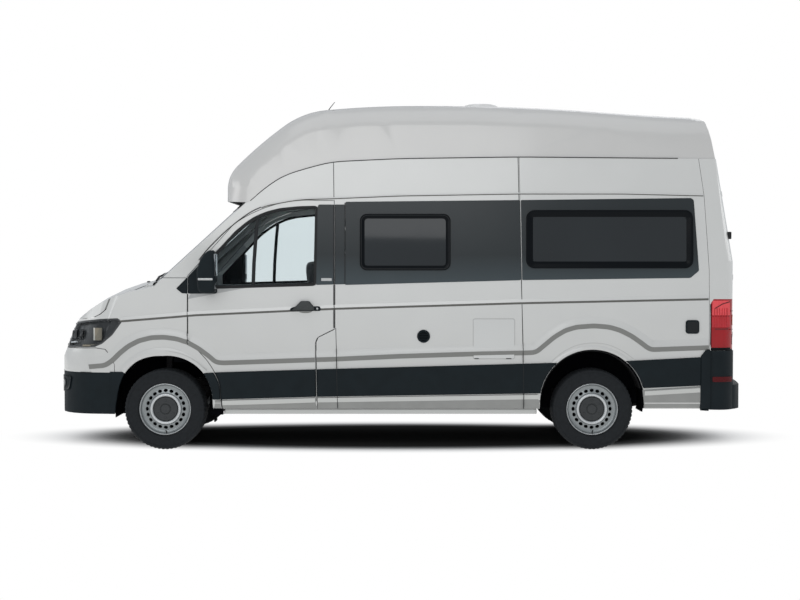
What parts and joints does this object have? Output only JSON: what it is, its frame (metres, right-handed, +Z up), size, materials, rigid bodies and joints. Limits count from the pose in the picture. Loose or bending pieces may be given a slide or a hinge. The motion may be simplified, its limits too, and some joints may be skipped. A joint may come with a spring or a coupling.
{
  "type": "camper van",
  "caption": "High-roof panel van camper with moulded roof cap, cab and rear doors, bonnet, sliding door, windows, furniture, steering and rolling wheels.",
  "frame": {"origin": "on the ground, half-way along the vehicle, on its middle plane", "axes": "+X to the rear, +Y to the vehicle's right, +Z up"},
  "size_m": [5.986, 2.52, 3.036],
  "materials": {
    "paint": "gloss",
    "roof_gel": "satin",
    "black_plastic": "grained",
    "dark_steel": "matt underbody coat",
    "glass_clear": "clear",
    "glass_dark": "tinted",
    "lamp_clear": "clear lens over bright reflectors",
    "lamp_red": "gloss",
    "tyre": "matt",
    "rim": "silver lacquer",
    "cast": "raw",
    "alloy": "cast",
    "dash_plastic": "grained",
    "seat_fabric": "woven",
    "wood": "laminated",
    "floor_steel": "undercoat"
  },
  "bodies": {
    "shell": {"bumper_front": "paint", "bumper_skirt": "black_plastic", "cab_frame": "paint", "cab_seats": "seat_fabric", "dash": "dash_plastic", "engine": "alloy", "floor_pan": "floor_steel", "front_subframe": "dark_steel", "furniture": "wood", "grille": "black_plastic", "headlamp_left": "lamp_clear", "headlamp_right": "lamp_clear", "rear_axle": "dark_steel", "rear_bumper": "black_plastic", "rear_frame": "paint", "roof_cap": "roof_gel", "roof_vent": "roof_gel", "side_left": "paint", "side_right": "paint", "sliding_door": "paint", "sliding_glass": "glass_dark", "tail_lamp_left": "lamp_red", "tail_lamp_right": "lamp_red", "window_right": "glass_dark", "windows_left": "glass_dark", "windscreen": "glass_clear", "wing_left": "paint", "wing_right": "paint"},
    "door_left_body": {"door_left": "paint", "door_glass_left": "glass_clear", "mirror_left": "black_plastic"},
    "door_right_body": {"door_right": "paint", "door_glass_right": "glass_clear", "mirror_right": "black_plastic"},
    "rear_door_left_body": {"rear_door_left": "paint", "rear_glass_left": "glass_dark"},
    "rear_door_right_body": {"rear_door_right": "paint", "rear_glass_right": "glass_dark"},
    "bonnet_lid": {"bonnet": "paint"},
    "steering": {"steering_wheel": "dash_plastic"},
    "hub_left": {"knuckle_left": "cast"},
    "hub_right": {"knuckle_right": "cast"},
    "wheel_front_left": {"rim_front_left": "rim", "tyre_front_left": "tyre"},
    "wheel_front_right": {"rim_front_right": "rim", "tyre_front_right": "tyre"},
    "wheel_rear_left": {"rim_rear_left": "rim", "tyre_rear_left": "tyre"},
    "wheel_rear_right": {"rim_rear_right": "rim", "tyre_rear_right": "tyre"}
  },
  "joints": [
    {"name": "steer_left", "type": "hinge", "parent": "shell", "child": "hub_left", "pos_m": [-2.002, -0.718, 0.344], "axis": [0, 0, 1], "range_deg": [-35, 35]},
    {"name": "steer_right", "type": "hinge", "parent": "shell", "child": "hub_right", "pos_m": [-2.002, 0.718, 0.344], "axis": [0, 0, 1], "range_deg": [-35, 35]},
    {"name": "steering_turn", "type": "hinge", "parent": "shell", "child": "steering", "pos_m": [-1.47, -0.43, 1.1756], "axis": [0.8716, 0, 0.4903], "range_deg": [-560, 560]},
    {"name": "spin_front_left", "type": "hinge", "parent": "hub_left", "child": "wheel_front_left", "pos_m": [-2.002, -0.88, 0.344], "axis": [0, 1, 0], "continuous": true},
    {"name": "spin_front_right", "type": "hinge", "parent": "hub_right", "child": "wheel_front_right", "pos_m": [-2.002, 0.88, 0.344], "axis": [0, 1, 0], "continuous": true},
    {"name": "spin_rear_left", "type": "hinge", "parent": "shell", "child": "wheel_rear_left", "pos_m": [1.638, -0.88, 0.344], "axis": [0, 1, 0], "continuous": true},
    {"name": "spin_rear_right", "type": "hinge", "parent": "shell", "child": "wheel_rear_right", "pos_m": [1.638, 0.88, 0.344], "axis": [0, 1, 0], "continuous": true},
    {"name": "cab_door_left", "type": "hinge", "parent": "shell", "child": "door_left_body", "pos_m": [-1.802, -1.023, 1.2], "axis": [0, 0, -1], "range_deg": [0, 70]},
    {"name": "cab_door_right", "type": "hinge", "parent": "shell", "child": "door_right_body", "pos_m": [-1.802, 1.023, 1.2], "axis": [0, 0, 1], "range_deg": [0, 70]},
    {"name": "rear_leaf_left", "type": "hinge", "parent": "shell", "child": "rear_door_left_body", "pos_m": [2.878, -0.908, 1.4], "axis": [0, 0, -1], "range_deg": [0, 180]},
    {"name": "rear_leaf_right", "type": "hinge", "parent": "shell", "child": "rear_door_right_body", "pos_m": [2.878, 0.908, 1.4], "axis": [0, 0, 1], "range_deg": [0, 180]},
    {"name": "bonnet_lift", "type": "hinge", "parent": "shell", "child": "bonnet_lid", "pos_m": [-2.1985, 0, 1.442], "axis": [0, 1, 0], "range_deg": [0, 55]}
  ],
  "couplings": [
    {"joint": "steer_right", "follows": "steer_left", "ratio": 1},
    {"joint": "steering_turn", "follows": "steer_left", "ratio": 16}
  ]
}
